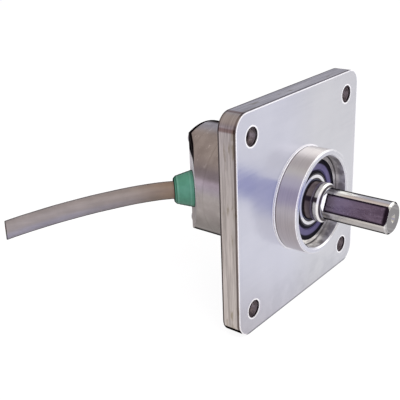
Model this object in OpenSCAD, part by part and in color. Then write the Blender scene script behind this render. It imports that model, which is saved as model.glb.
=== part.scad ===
// Square flange optical rotary encoder, millimetres.
// The mounting face of the flange is at Y = 0 around the shaft axis, the shaft points along -Y and +Z is up.

/* [Flange] */
// Side of the square flange
flange_side = 66.7; // [60:0.1:72]
// Thickness of the flange plate
flange_thickness = 6; // [4:0.1:8]
// Radius of the plate corners
flange_corner_r = 5; // [2:0.5:8]
// Distance between neighbouring mounting holes
hole_spacing = 52.4; // [48:0.1:56]
// Radius of a mounting hole
hole_r = 2.75; // [2:0.05:3.2]
// Radius of the centring pilot
pilot_r = 15.875; // [14:0.005:17]
// Height of the pilot above the mounting face
pilot_height = 7.6; // [5:0.1:10]
// Radius of the step at the root of the pilot
pilot_root_r = 16.25; // [16:0.05:17]
// Height of the step at the root of the pilot
pilot_root_height = 0.4; // [0.2:0.1:1]

/* [Hub behind the flange] */
// Outer radius of the hub that carries the cover
hub_r = 16.6; // [15:0.1:17]
// Depth of the hub end behind the mounting face
hub_end = 18.3; // [17:0.1:22]
// Radius of the clearance bore between the bearings
mid_bore_r = 6.5; // [6:0.1:7]

/* [Shaft] */
// Radius of the output end
shaft_r = 4.7625; // [3:0.0005:6]
// Height of the shaft tip above the mounting face
shaft_tip = 29.5; // [20:0.1:40]
// Radius of the shaft journal in the front bearing
journal_r = 6; // [5:0.1:7]
// Depth of the milled flat
flat_depth = 0.9; // [0.5:0.05:1.5]
// Height where the full depth of the flat begins
flat_start = 9.8; // [9:0.1:14]
// Length of the ramp at the inner end of the flat
flat_ramp = 1.2; // [0.5:0.1:2]
// Angle of the flat about the shaft axis
flat_angle = 154; // [0:1:360]
// Depth of the rear end of the shaft
shaft_rear = 23.8; // [22:0.1:26]

/* [Front bearing] */
// Outer radius of the front bearing
fb_outer_r = 14; // [12:0.1:14]
// Height of the front bearing face above the mounting face
fb_face = 3.82; // [2:0.01:6]
// Width of the front bearing
fb_width = 8; // [6:0.5:9]
// Pitch radius of the front balls
fb_pitch_r = 10; // [9:0.1:11]
// Radius of a front ball
fb_ball_r = 2.381; // [2:0.001:3]
// Number of front balls
fb_balls = 8; // [6:1:9]

/* [Rear bearing] */
// Outer radius of the rear bearing
rb_outer_r = 8; // [7:0.1:9]
// Bore radius of the rear bearing
rb_bore_r = 4; // [3:0.1:5]
// Depth of the front face of the rear bearing
rb_front = 11; // [10:0.1:13]
// Width of the rear bearing
rb_width = 5; // [4:0.5:6]
// Pitch radius of the rear balls
rb_pitch_r = 6; // [5.5:0.1:6.5]
// Radius of a rear ball
rb_ball_r = 1.1905; // [1:0.0005:1.5]
// Number of rear balls
rb_balls = 10; // [8:1:12]

/* [Cover] */
// Outer radius of the cover
cover_r = 18.25; // [17:0.05:20]
// Length of the cover behind the flange
cover_length = 31.8; // [28:0.1:36]
// Wall thickness of the cover side
cover_wall = 1.6; // [1:0.05:2]
// Wall thickness of the cover end
cover_end_wall = 1.8; // [1:0.1:3]
// Distance from the axis to the rear edge of the bevel
bevel_start = 7.1; // [5:0.1:12]
// Edge radius at the rear of the cover
cover_edge_r = 1; // [0.4:0.1:2]
// Radius of the circle that the cover screws stand on
cover_screw_circle = 14.2; // [13:0.1:15]

/* [Code disc] */
// Outer radius of the code disc
disc_r = 12; // [10:0.1:12.2]
// Depth of the front face of the code disc
disc_front = 21.7; // [21:0.1:23]
// Thickness of the code disc
disc_thickness = 0.6; // [0.2:0.1:1]
// Number of slots in the code track
disc_slots = 48; // [24:1:60]
// Angle of the light sensor about the axis
sensor_angle = -45; // [-60:1:-30]

/* [Cable] */
// Radius of the cable jacket
cable_r = 2.85; // [2:0.05:4]
// Height of the cable outlet above the axis
outlet_rise = 0.2; // [-1:0.1:1]
// Radius of the boot at its root
boot_root_r = 5.9; // [4:0.1:7]
// Radius of the boot at its tip
boot_tip_r = 4.5; // [3.5:0.1:6]
// Length of the boot outside the cover
boot_length = 6.2; // [4:0.1:10]
// Radius of the first bend of the cable
bend_1_r = 70; // [20:0.5:120]
// Angle of the first bend
bend_1_angle = 9.9; // [5:0.1:60]
// Radius of the second bend of the cable
bend_2_r = 270; // [80:0.1:400]
// Angle of the second bend
bend_2_angle = 8.7; // [2:0.1:30]
// Tilt of the first bending plane about the outlet
bend_tilt = -18.9; // [-60:0.1:60]
// Further tilt of the second bending plane
bend_2_tilt = -59; // [-90:0.1:90]

/* [Hidden] */
$fn = 96;
eps = 0.02;
fit_gap = 0.05;
thread_gap = 0.02;
fb_mid = fb_face - fb_width / 2;
rb_mid = -rb_front - rb_width / 2;
rb_rear = rb_front + rb_width;
spring_depth = 0.8;
ring_depth = 0.7;
cover_rear = flange_thickness + cover_length;
cover_inner_r = cover_r - cover_wall;
cover_inner_rear = cover_rear - cover_end_wall;
bevel_depth = cover_r - bevel_start;
outlet_x = -(cover_r + bevel_start) / 2;
outlet_depth = cover_rear - bevel_depth / 2;
disc_rear = disc_front + disc_thickness;
board_front = disc_rear + 2.4;
board_rear = board_front + 1.5;
board_r = 16.2;
board_cut = 10.5;
sensor_r = 10.3;
screw_r = 1.25;
screw_angles = [0, 105, -105];
core_r = 0.5;
core_circle = 1.15;
core_count = 5;
cable_inner = 5.4;
wire_clear = 0.75;
wire_r = 0.34;

// Frames ------------------------------------------------------------------------------------------

// Local +Z becomes the shaft direction, local +Y becomes up.
module along_shaft() {
    rotate([90, 0, 0]) children();
}

// Local +Z leaves the cover square to its bevel.
module along_outlet() {
    along_shaft()
        translate([outlet_x, outlet_rise, -outlet_depth])
            rotate([0, -135, 0])
                rotate([0, 0, bend_tilt])
                    children();
}

module ring(inner, outer, low, high) {
    rotate_extrude()
        translate([inner, low])
            square([outer - inner, high - low]);
}

module disc(radius, low, high) {
    translate([0, 0, low])
        cylinder(h = high - low, r = radius);
}

// Flange ------------------------------------------------------------------------------------------

module flange_plate() {
    inner = flange_side - 2 * flange_corner_r;
    offset_c = inner / 2;
    translate([-flange_side / 2, -inner / 2, -flange_thickness])
        cube([flange_side, inner, flange_thickness]);
    translate([-inner / 2, -flange_side / 2, -flange_thickness])
        cube([inner, flange_side, flange_thickness]);
    for (x = [-offset_c, offset_c], y = [-offset_c, offset_c])
        translate([x, y, -flange_thickness])
            cylinder(h = flange_thickness, r = flange_corner_r);
}

module flange_turned_body() {
    rotate_extrude()
        polygon([
            [0, -hub_end],
            [hub_r - 0.4, -hub_end],
            [hub_r, -hub_end + 0.4],
            [hub_r, -12.2],
            [hub_r - 1.1, -12.2],
            [hub_r - 1.1, -10.4],
            [hub_r, -10.4],
            [hub_r, -flange_thickness + eps],
            [pilot_root_r, -flange_thickness + eps],
            [pilot_root_r, pilot_root_height],
            [pilot_r, pilot_root_height],
            [pilot_r, pilot_height - 0.35],
            [pilot_r - 0.35, pilot_height],
            [0, pilot_height]
        ]);
}

module flange_bores() {
    rotate_extrude()
        polygon([
            [0, -hub_end - 1],
            [rb_outer_r, -hub_end - 1],
            [rb_outer_r, -rb_rear - spring_depth - ring_depth],
            [rb_outer_r + 0.5, -rb_rear - spring_depth - ring_depth],
            [rb_outer_r + 0.5, -rb_rear - spring_depth],
            [rb_outer_r, -rb_rear - spring_depth],
            [rb_outer_r, -rb_front],
            [mid_bore_r, -rb_front],
            [mid_bore_r, fb_face - fb_width - 1.6],
            [12.2, fb_face - fb_width - 1.6],
            [12.2, fb_face - fb_width],
            [fb_outer_r, fb_face - fb_width],
            [fb_outer_r, pilot_height - 0.45],
            [fb_outer_r + 0.45, pilot_height],
            [fb_outer_r + 0.45, pilot_height + 1],
            [0, pilot_height + 1]
        ]);
}

module mounting_holes() {
    half = hole_spacing / 2;
    for (x = [-half, half], y = [-half, half])
        translate([x, y, -flange_thickness - 1])
            cylinder(h = flange_thickness + 2, r = hole_r);
}

module at_cover_screws() {
    for (a = screw_angles)
        rotate([0, 0, a])
            translate([cover_screw_circle, 0, 0])
                children();
}

module at_sensor() {
    rotate([0, 0, sensor_angle])
        translate([sensor_r, 0, 0])
            children();
}

module at_bracket_screws() {
    at_sensor()
        for (y = [-3.6, 3.6])
            translate([1.2, y, 0])
                children();
}

module flange() {
    color("silver") along_shaft() difference() {
        union() {
            flange_plate();
            flange_turned_body();
        }
        flange_bores();
        mounting_holes();
        at_cover_screws() disc(screw_r + thread_gap, -hub_end - 1, -hub_end + 4.5);
        at_bracket_screws() disc(0.8 + thread_gap, -hub_end - 1, -hub_end + 3);
    }
}

// Shaft -------------------------------------------------------------------------------------------

module shaft_body() {
    rotate_extrude()
        polygon([
            [0, -shaft_rear],
            [2.7, -shaft_rear],
            [3, -shaft_rear + 0.3],
            [3, -rb_rear - 0.6],
            [rb_bore_r, -rb_rear - 0.6],
            [rb_bore_r, -rb_front],
            [5.1, -rb_front],
            [5.1, fb_face - fb_width - 1.2],
            [7.4, fb_face - fb_width - 1.2],
            [7.4, fb_face - fb_width],
            [journal_r, fb_face - fb_width],
            [journal_r, 6.2],
            [journal_r - 0.45, 6.2],
            [journal_r - 0.45, 7.1],
            [journal_r, 7.1],
            [journal_r, 8.2],
            [journal_r - 0.6, 8.85],
            [shaft_r + 0.2, 8.85],
            [shaft_r, 9.1],
            [shaft_r, shaft_tip - 0.55],
            [shaft_r - 0.55, shaft_tip],
            [0, shaft_tip]
        ]);
}

module flat_cutter() {
    flat_x = shaft_r - flat_depth;
    rotate([0, 0, flat_angle]) {
        translate([flat_x, -shaft_r, flat_start])
            cube([2 * shaft_r, 2 * shaft_r, shaft_tip]);
        translate([flat_x, 0, flat_start])
            rotate([90, 0, 0])
                linear_extrude(height = 2 * shaft_r, center = true)
                    polygon([[0, eps], [0, 0], [flat_depth + 0.4, -flat_ramp], [flat_depth + 0.4, eps]]);
    }
}

module centre_drill() {
    rotate_extrude()
        polygon([
            [0, shaft_tip - 2.4],
            [0.6, shaft_tip - 2],
            [0.6, shaft_tip - 1.1],
            [1.6, shaft_tip + 0.6],
            [0, shaft_tip + 0.6]
        ]);
}

module shaft() {
    color("gainsboro") along_shaft() difference() {
        shaft_body();
        flat_cutter();
        centre_drill();
    }
}

// Ball bearings -----------------------------------------------------------------------------------

module race_cut(pitch, ball) {
    rotate_extrude()
        translate([pitch, 0])
            circle(r = ball + fit_gap);
}

module inner_ring(bore, land, width, pitch, ball) {
    difference() {
        rotate_extrude()
            polygon([
                [bore + 0.3, -width / 2],
                [land, -width / 2],
                [land, width / 2],
                [bore + 0.3, width / 2],
                [bore, width / 2 - 0.3],
                [bore, -width / 2 + 0.3]
            ]);
        race_cut(pitch, ball);
    }
}

module outer_ring(land, outer, width, pitch, ball, seat_r, seat_depth) {
    difference() {
        rotate_extrude()
            polygon([
                [land, -width / 2 + seat_depth],
                [seat_r, -width / 2 + seat_depth],
                [seat_r, -width / 2],
                [outer - 0.3, -width / 2],
                [outer, -width / 2 + 0.3],
                [outer, width / 2 - 0.3],
                [outer - 0.3, width / 2],
                [seat_r, width / 2],
                [seat_r, width / 2 - seat_depth],
                [land, width / 2 - seat_depth]
            ]);
        race_cut(pitch, ball);
    }
}

module balls(count, pitch, ball) {
    for (i = [0:count - 1])
        rotate([0, 0, i * 360 / count])
            translate([pitch, 0, 0])
                sphere(r = ball);
}

module cage(count, pitch, ball, half_width, half_height) {
    difference() {
        ring(pitch - half_width, pitch + half_width, -half_height, half_height);
        for (i = [0:count - 1])
            rotate([0, 0, i * 360 / count])
                translate([pitch - 2, 0, 0])
                    rotate([0, 90, 0])
                        cylinder(h = 5, r = ball + fit_gap);
    }
}

module seal_ring() {
    rotate_extrude()
        polygon([
            [8.25, 2.95],
            [12.5, 2.95],
            [12.5, 3.6],
            [12.25, 3.85],
            [9.35, 3.85],
            [9.2, 3.55],
            [8.95, 3.55],
            [8.8, 3.85],
            [8.25, 3.85]
        ]);
}

module front_bearing_outer_ring() {
    color("lightgrey") along_shaft() translate([0, 0, fb_mid])
        outer_ring(11.9, fb_outer_r, fb_width, fb_pitch_r, fb_ball_r, 12.5, 1.05);
}

module front_bearing_inner_ring() {
    color("lightgrey") along_shaft() translate([0, 0, fb_mid])
        inner_ring(journal_r, 8.2, fb_width, fb_pitch_r, fb_ball_r);
}

module front_bearing_balls() {
    color("white") along_shaft() translate([0, 0, fb_mid])
        balls(fb_balls, fb_pitch_r, fb_ball_r);
}

module front_bearing_cage() {
    color("goldenrod") along_shaft() translate([0, 0, fb_mid])
        cage(fb_balls, fb_pitch_r, fb_ball_r, 0.6, 2.85);
}

module front_bearing_front_seal() {
    color("indigo") along_shaft() translate([0, 0, fb_mid])
        seal_ring();
}

module front_bearing_rear_seal() {
    color("indigo") along_shaft() translate([0, 0, fb_mid])
        rotate([180, 0, 0])
            seal_ring();
}

module rear_bearing_outer_ring() {
    color("lightgrey") along_shaft() translate([0, 0, rb_mid])
        outer_ring(6.85, rb_outer_r, rb_width, rb_pitch_r, rb_ball_r, 7.15, 0.5);
}

module rear_bearing_inner_ring() {
    color("lightgrey") along_shaft() translate([0, 0, rb_mid])
        inner_ring(rb_bore_r, 5.25, rb_width, rb_pitch_r, rb_ball_r);
}

module rear_bearing_balls() {
    color("white") along_shaft() translate([0, 0, rb_mid])
        balls(rb_balls, rb_pitch_r, rb_ball_r);
}

module rear_bearing_cage() {
    color("goldenrod") along_shaft() translate([0, 0, rb_mid])
        cage(rb_balls, rb_pitch_r, rb_ball_r, 0.3, 1.7);
}

module rear_bearing_shields() {
    color("silver") along_shaft() translate([0, 0, rb_mid]) {
        ring(5.3, 7.15, 2, 2.3);
        ring(5.3, 7.15, -2.3, -2);
    }
}

// Preload and retention of the rear bearing -------------------------------------------------------

module preload_spring() {
    color("slategray") along_shaft() {
        ring(7.2, 7.9, -rb_rear - 0.6, -rb_rear - 0.2);
        for (a = [0:60:300])
            rotate([0, 0, a])
                translate([7.55, 0, (a % 120 == 0) ? -rb_rear - 0.25 : -rb_rear - 0.8])
                    cylinder(h = 0.25, r = 0.34);
    }
}

module bearing_retaining_ring() {
    low = -rb_rear - spring_depth - ring_depth + 0.05;
    high = -rb_rear - spring_depth;
    color("dimgray") along_shaft() difference() {
        union() {
            ring(7.1, rb_outer_r + 0.45, low, high);
            for (a = [76, 104])
                rotate([0, 0, a])
                    translate([7.05, 0, low])
                        cylinder(h = high - low, r = 0.8);
        }
        translate([-0.9, 5, low - 1])
            cube([1.8, 5, 3]);
        for (a = [76, 104])
            rotate([0, 0, a])
                translate([6.95, 0, low - 1])
                    cylinder(h = 3, r = 0.35);
    }
}

// Cover -------------------------------------------------------------------------------------------

// Everything on the far side of the bevel plane, moved inwards by the wall thickness given.
module beyond_bevel(wall) {
    translate([-bevel_start, 0, -cover_rear])
        rotate([0, -135, 0])
            translate([-60, -60, -wall])
                cube([120, 120, 60]);
}

module cover_outside() {
    difference() {
        rotate_extrude() difference() {
            union() {
                translate([0, -cover_rear + cover_edge_r])
                    square([cover_r, cover_length - cover_edge_r]);
                translate([0, -cover_rear])
                    square([cover_r - cover_edge_r, cover_length]);
                translate([cover_r - cover_edge_r, -cover_rear + cover_edge_r])
                    circle(r = cover_edge_r);
            }
            translate([-50, -60])
                square([50, 80]);
        }
        beyond_bevel(0);
    }
}

module cover_inside() {
    difference() {
        disc(cover_inner_r, -cover_inner_rear, -flange_thickness + 1);
        beyond_bevel(cover_wall);
    }
}

module cover() {
    color("rosybrown") difference() {
        along_shaft() difference() {
            cover_outside();
            cover_inside();
            at_cover_screws() disc(screw_r + 0.15, -cover_rear - 1, -cover_inner_rear + 1);
        }
        along_outlet() disc(4.7, -4, 2);
    }
}

module cover_oring() {
    color("black") along_shaft() translate([0, 0, -11.3])
        rotate_extrude()
            translate([16.07, 0])
                circle(r = 0.55);
}

module cover_screw() {
    difference() {
        union() {
            disc(screw_r, -cover_rear, -hub_end + 4);
            disc(2.2, -cover_rear - 1.4, -cover_rear);
        }
        translate([0, 0, -cover_rear - 1.5])
            cylinder(h = 0.9, r = 1.1, $fn = 6);
    }
}

module cover_screws() {
    color("gray") along_shaft() at_cover_screws() cover_screw();
}

module board_spacers() {
    color("gold") along_shaft() at_cover_screws() {
        ring(screw_r + 0.1, 1.95, -board_front, -hub_end);
        ring(screw_r + 0.1, 1.95, -cover_inner_rear, -board_rear);
    }
}

// Code disc ---------------------------------------------------------------------------------------

module disc_hub() {
    color("darkgray") along_shaft() difference() {
        rotate_extrude()
            polygon([
                [3, -disc_rear - 1.3],
                [4.5, -disc_rear - 1.3],
                [4.5, -disc_front],
                [7, -disc_front],
                [7, -disc_front + 0.9],
                [5.3, -disc_front + 0.9],
                [5.3, -hub_end - 0.6],
                [3, -hub_end - 0.6]
            ]);
        for (a = [60, 150])
            rotate([0, 0, a])
                translate([2, 0, -hub_end - 1.7])
                    rotate([0, 90, 0])
                        cylinder(h = 5, r = 0.75 + thread_gap);
    }
}

module hub_set_screws() {
    color("black") along_shaft()
        for (a = [60, 150])
            rotate([0, 0, a])
                translate([3, 0, -hub_end - 1.7])
                    rotate([0, 90, 0])
                        cylinder(h = 2.3, r = 0.75);
}

module code_disc() {
    color("lightsteelblue") along_shaft() difference() {
        ring(4.5, disc_r, -disc_rear, -disc_front);
        for (i = [0:disc_slots - 1])
            rotate([0, 0, i * 360 / disc_slots])
                translate([9.4, -0.32, -disc_rear - 1])
                    cube([1.9, 0.64, disc_thickness + 2]);
        translate([7.9, -0.32, -disc_rear - 1])
            cube([0.9, 0.64, disc_thickness + 2]);
    }
}

module disc_clamp_ring() {
    color("darkgray") along_shaft() ring(4.5, 6.6, -disc_rear - 0.7, -disc_rear);
}

// Light barrier -----------------------------------------------------------------------------------

module emitter_bracket() {
    color("dimgray") along_shaft() difference() {
        at_sensor()
            translate([-1.9, -5.2, -hub_end - 1.2])
                cube([5.2, 10.4, 1.2]);
        at_sensor() disc(1.5, -hub_end - 2, -hub_end - 0.3);
        at_bracket_screws() disc(0.85, -hub_end - 2, -hub_end + 1);
    }
}

module bracket_screws() {
    color("gray") along_shaft() at_bracket_screws() {
        disc(0.8, -hub_end - 1.2, -hub_end + 2.5);
        disc(1.45, -hub_end - 2, -hub_end - 1.2);
    }
}

module led_emitter() {
    color("tomato") along_shaft() at_sensor() {
        disc(1.5, -hub_end - 2.2, -hub_end - 0.3);
        translate([0, 0, -hub_end - 2.2])
            sphere(r = 0.9);
    }
}

module reticle() {
    color("lightblue") along_shaft() at_sensor()
        translate([-2.2, -3.2, -disc_rear - 1.2])
            cube([4.4, 6.4, 0.5]);
}

module detector_chip() {
    color("black") along_shaft() at_sensor()
        translate([-2.6, -3.6, -board_front])
            cube([5.2, 7.2, 1.2]);
}

// Electronics -------------------------------------------------------------------------------------

module circuit_board() {
    color("green") along_shaft() difference() {
        disc(board_r, -board_rear, -board_front);
        translate([-board_cut - 20, -20, -board_rear - 1])
            cube([20, 40, 4]);
        at_cover_screws() disc(screw_r + 0.2, -board_rear - 1, -board_front + 1);
        disc(2.2, -board_rear - 1, -board_front + 1);
    }
}

module chip(x, y, width, length, height) {
    translate([x - width / 2, y - length / 2, -board_rear - height])
        cube([width, length, height]);
}

module board_components() {
    color("darkslategray") along_shaft() {
        chip(8.2, -6.2, 5, 6.2, 1.6);
        chip(8.2, 6.2, 4.2, 4.2, 1.2);
        chip(-1.8, 10.2, 1.2, 2, 0.8);
        chip(0.4, 10.2, 1.2, 2, 0.8);
        chip(2.6, 10.2, 1.2, 2, 0.8);
        chip(-1.8, -10.2, 1.2, 2, 0.8);
        chip(0.4, -10.2, 1.2, 2, 0.8);
        chip(10.2, 0, 2, 1.2, 0.9);
        chip(2.8, -11.6, 2.4, 2.4, 1.4);
    }
}

module wire_connector() {
    color("ivory") along_shaft() difference() {
        translate([0.6, -5.5, -board_rear - 4.8])
            cube([4, 11, 4.8]);
        for (i = [0:core_count - 1])
            translate([0, 2 * (i - 2), -board_rear - 3])
                rotate([0, 90, 0])
                    cylinder(h = 3, r = 0.8);
    }
}

// Cable -------------------------------------------------------------------------------------------

module cable_bend(radius, angle) {
    translate([radius, 0, 0])
        rotate([90, 0, 180])
            rotate_extrude(angle = angle)
                translate([radius, 0])
                    children();
}

module after_bend(radius, angle) {
    translate([radius * (1 - cos(angle)), 0, radius * sin(angle)])
        rotate([0, angle, 0])
            children();
}

// Sweeps a flat outline from inside the cover to the cut end of the cable.
module cable_sweep() {
    along_outlet() {
        translate([0, 0, -cable_inner])
            linear_extrude(height = cable_inner + boot_length)
                mirror([1, 0])
                    children();
        translate([0, 0, boot_length]) {
            cable_bend(bend_1_r, bend_1_angle)
                children();
            after_bend(bend_1_r, bend_1_angle)
                translate([0, 0, eps])
                    rotate([0, 0, bend_2_tilt])
                        cable_bend(bend_2_r, bend_2_angle)
                            rotate(bend_2_tilt)
                                children();
        }
    }
}

module cable_clamp() {
    color("silver") along_outlet() ring(cable_r, 4.1, -4.6, -2.7);
}

module cable_boot() {
    color("seagreen") along_outlet()
        rotate_extrude()
            polygon([
                [cable_r, -2.7],
                [5.4, -2.7],
                [5.4, -cover_wall],
                [4.7, -cover_wall],
                [4.7, 0],
                [boot_root_r, 0],
                [boot_root_r, 0.5],
                [boot_tip_r, boot_length - 0.7],
                [boot_tip_r - 0.7, boot_length],
                [cable_r, boot_length]
            ]);
}

module cable_jacket() {
    color("tan") cable_sweep()
        difference() {
            circle(r = cable_r);
            circle(r = cable_r - 0.7);
        }
}

module cable_braid() {
    color("silver") cable_sweep()
        difference() {
            circle(r = cable_r - 0.7);
            circle(r = cable_r - 0.9);
        }
}

module core_at(i) {
    rotate(i * 360 / core_count)
        translate([core_circle, 0])
            circle(r = core_r);
}

module cable_cores() {
    color("orangered")
        for (i = [0:core_count - 1])
            cable_sweep()
                core_at(i);
}

// Straight wire between two points, starting a little way along so that it clears the end of its core.
module wire(start, end) {
    along = end - start;
    length = norm(along);
    translate(start)
        rotate([0, acos(along[2] / length), atan2(along[1], along[0])])
            translate([0, 0, wire_clear])
                cylinder(h = length - wire_clear, r = wire_r);
}

// Where a core leaves the cable inside the cover, in the shaft frame.
function core_start(i) =
    let (
        turn = i * 360 / core_count,
        u = -core_circle * cos(turn),
        v = core_circle * sin(turn),
        side = u * cos(bend_tilt) - v * sin(bend_tilt),
        up = u * sin(bend_tilt) + v * cos(bend_tilt)
    )
    [
        outlet_x + (cable_inner - side) / sqrt(2),
        outlet_rise + up,
        -outlet_depth + (cable_inner + side) / sqrt(2)
    ];

module connector_wires() {
    slots = [2, 4, 3, 1, 0];
    color("orangered") along_shaft()
        for (i = [0:core_count - 1])
            wire(core_start(i), [1.3, 2 * (slots[i] - 2), -board_rear - 3]);
}

flange();
shaft();
front_bearing_outer_ring();
front_bearing_inner_ring();
front_bearing_balls();
front_bearing_cage();
front_bearing_front_seal();
front_bearing_rear_seal();
rear_bearing_outer_ring();
rear_bearing_inner_ring();
rear_bearing_balls();
rear_bearing_cage();
rear_bearing_shields();
preload_spring();
bearing_retaining_ring();
cover();
cover_oring();
cover_screws();
board_spacers();
disc_hub();
hub_set_screws();
code_disc();
disc_clamp_ring();
emitter_bracket();
bracket_screws();
led_emitter();
reticle();
detector_chip();
circuit_board();
board_components();
wire_connector();
cable_clamp();
cable_boot();
cable_jacket();
cable_braid();
cable_cores();
connector_wires();
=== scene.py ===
import math
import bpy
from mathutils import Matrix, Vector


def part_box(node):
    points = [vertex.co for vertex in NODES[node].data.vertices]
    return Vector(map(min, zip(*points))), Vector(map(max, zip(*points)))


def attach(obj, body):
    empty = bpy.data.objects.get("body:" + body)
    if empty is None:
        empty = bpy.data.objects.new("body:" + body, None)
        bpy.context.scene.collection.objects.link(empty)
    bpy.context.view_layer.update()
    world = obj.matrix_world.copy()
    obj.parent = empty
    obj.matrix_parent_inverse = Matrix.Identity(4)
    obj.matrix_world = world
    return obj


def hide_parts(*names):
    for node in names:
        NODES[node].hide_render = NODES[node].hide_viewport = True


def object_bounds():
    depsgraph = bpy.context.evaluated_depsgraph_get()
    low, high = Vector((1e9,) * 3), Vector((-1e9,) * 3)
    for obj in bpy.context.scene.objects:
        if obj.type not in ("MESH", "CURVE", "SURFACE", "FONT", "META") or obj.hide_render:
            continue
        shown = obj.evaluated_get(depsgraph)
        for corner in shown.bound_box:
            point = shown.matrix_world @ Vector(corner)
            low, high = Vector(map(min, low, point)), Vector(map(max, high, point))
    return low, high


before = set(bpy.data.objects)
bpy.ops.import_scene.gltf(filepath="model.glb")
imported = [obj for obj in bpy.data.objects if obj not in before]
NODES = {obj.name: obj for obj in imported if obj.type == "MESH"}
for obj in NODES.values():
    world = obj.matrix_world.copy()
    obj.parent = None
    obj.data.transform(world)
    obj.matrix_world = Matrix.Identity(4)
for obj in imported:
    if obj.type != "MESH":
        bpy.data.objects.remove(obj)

from types import SimpleNamespace

import bmesh
import bpy
from mathutils import Matrix, Vector

CAD_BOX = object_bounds()
MM = 0.001

# Sizes of the CAD model that the materials and the cable follow, in millimetres and degrees.
PLATE_BACK = 6.0
CORNER_R = 5.0
HOLE_AT = 26.2
SEAL_INNER = 8.1
SEAL_OUTER = 11.9
JOURNAL_FROM = 3.82
COLLAR_FROM = 7.1
COLLAR_TO = 8.7
FLAT_ANGLE = 154
FLAT_HALF_WIDTH = 2.786
FLAT_FROM = 9.8
SHAFT_TIP = 29.5
BEVEL_AT = 31.75
OUTLET = (-12.675, 32.225, 0.2)
BEND_TILT = -18.9
BEND_2_TILT = -59.0
BENDS = ((70.0, 9.9), (270.0, 8.7))
CABLE_R = 2.85
CABLE_INNER = 5.4
BOOT_LENGTH = 6.2

# Viewing angle: azimuth from +Y towards +X, elevation and roll in degrees, the rest in millimetres.
VIEW_AZIMUTH = 50.78088
VIEW_ELEVATION = -22.22783
VIEW_ROLL = -2.37066
VIEW_POINT = (-19.4787, 24.1079, 0.3728)
VIEW_DISTANCE = 224.582
VIEW_LENS = 66.55

WHITE = (1.0, 1.0, 1.0)


# Shader helpers -----------------------------------------------------------------------------------
# Positions, radii and distances in shaders are in millimetres. Colours are RGB tuples or sockets.

def new_material(name):
    """A material with only its output and one Principled shader."""
    material = bpy.data.materials.new(name)
    material.use_nodes = True
    tree = material.node_tree
    tree.nodes.clear()
    output = tree.nodes.new("ShaderNodeOutputMaterial")
    shader = tree.nodes.new("ShaderNodeBsdfPrincipled")
    feed(output.inputs["Surface"], shader.outputs["BSDF"])
    return material, tree, shader


def tree_of(*values):
    """The node tree of the first socket among values."""
    return next(value.id_data for value in values if isinstance(value, bpy.types.NodeSocket))


def feed(slot, value):
    """Puts a number, a colour or another node's socket into an input slot."""
    if isinstance(value, (int, float)):
        slot.default_value = value
    elif isinstance(value, tuple):
        slot.default_value = (*value, 1.0)
    else:
        value.id_data.links.new(value, slot)


def coords(tree, scale=(1, 1, 1)):
    """Object coordinates in metres, stretched by scale."""
    source = tree.nodes.new("ShaderNodeTexCoord")
    mapping = tree.nodes.new("ShaderNodeMapping")
    mapping.inputs["Scale"].default_value = scale
    feed(mapping.inputs["Vector"], source.outputs["Object"])
    return mapping.outputs["Vector"]


def noise(vector, scale, detail=4.0, rough=0.55):
    """Fractal noise from 0 to 1."""
    node = tree_of(vector).nodes.new("ShaderNodeTexNoise")
    node.inputs["Scale"].default_value = scale
    node.inputs["Detail"].default_value = detail
    node.inputs["Roughness"].default_value = rough
    feed(node.inputs["Vector"], vector)
    return node.outputs["Fac"]


def span(value, low, high, to_low, to_high):
    """Maps value from low..high to to_low..to_high."""
    node = tree_of(value).nodes.new("ShaderNodeMapRange")
    for key, number in zip(("From Min", "From Max", "To Min", "To Max"), (low, high, to_low, to_high)):
        node.inputs[key].default_value = number
    feed(node.inputs["Value"], value)
    return node.outputs["Result"]


def smooth(value, low, high):
    """0 below low, 1 above high, eased between."""
    result = span(value, low, high, 0.0, 1.0)
    result.node.interpolation_type = "SMOOTHSTEP"
    return result


def maths(operation, *values):
    """One maths node on one or two numbers or sockets."""
    node = tree_of(*values).nodes.new("ShaderNodeMath")
    node.operation = operation
    for slot, value in zip(node.inputs, values):
        feed(slot, value)
    return node.outputs["Value"]


def combine(operation, values):
    """The operation through all the values in turn."""
    result = values[0]
    for value in values[1:]:
        result = maths(operation, result, value)
    return result


def times(*values):
    return combine("MULTIPLY", values)


def largest(*values):
    return combine("MAXIMUM", values)


def minus(first, second):
    return maths("SUBTRACT", first, second)


def absolute(value):
    return maths("ABSOLUTE", value)


def length_of(first, second):
    """Length of the vector with two parts."""
    squares = maths("ADD", times(first, first), times(second, second))
    return maths("SQRT", squares)


def invert(value):
    return minus(1.0, value)


def below(value, low, high):
    """1 below low, 0 above high, eased between."""
    return invert(smooth(value, low, high))


def band(value, low, high, soft):
    """1 between low and high, easing to 0 over soft on both sides."""
    return times(smooth(value, low - soft, low), below(value, high, high + soft))


def near(value, centre, width):
    """1 where value is at centre, easing to 0 at width from it."""
    distance = absolute(minus(value, centre))
    return smooth(minus(width, distance), 0.0, 0.5 * width)


def split(vector):
    """The three parts of a vector socket."""
    node = tree_of(vector).nodes.new("ShaderNodeSeparateXYZ")
    feed(node.inputs["Vector"], vector)
    return node.outputs["X"], node.outputs["Y"], node.outputs["Z"]


def position(tree):
    """Object position in millimetres, as three sockets."""
    source = tree.nodes.new("ShaderNodeTexCoord")
    scale = tree.nodes.new("ShaderNodeVectorMath")
    scale.operation = "SCALE"
    scale.inputs["Scale"].default_value = 1 / MM
    feed(scale.inputs[0], source.outputs["Object"])
    return split(scale.outputs["Vector"])


def normal_vector(tree):
    return tree.nodes.new("ShaderNodeTexCoord").outputs["Normal"]


def around_axis(tree):
    """Radius from the shaft axis and place along it, in millimetres. The place grows towards the rear."""
    x, y, z = position(tree)
    return length_of(x, z), y


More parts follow.
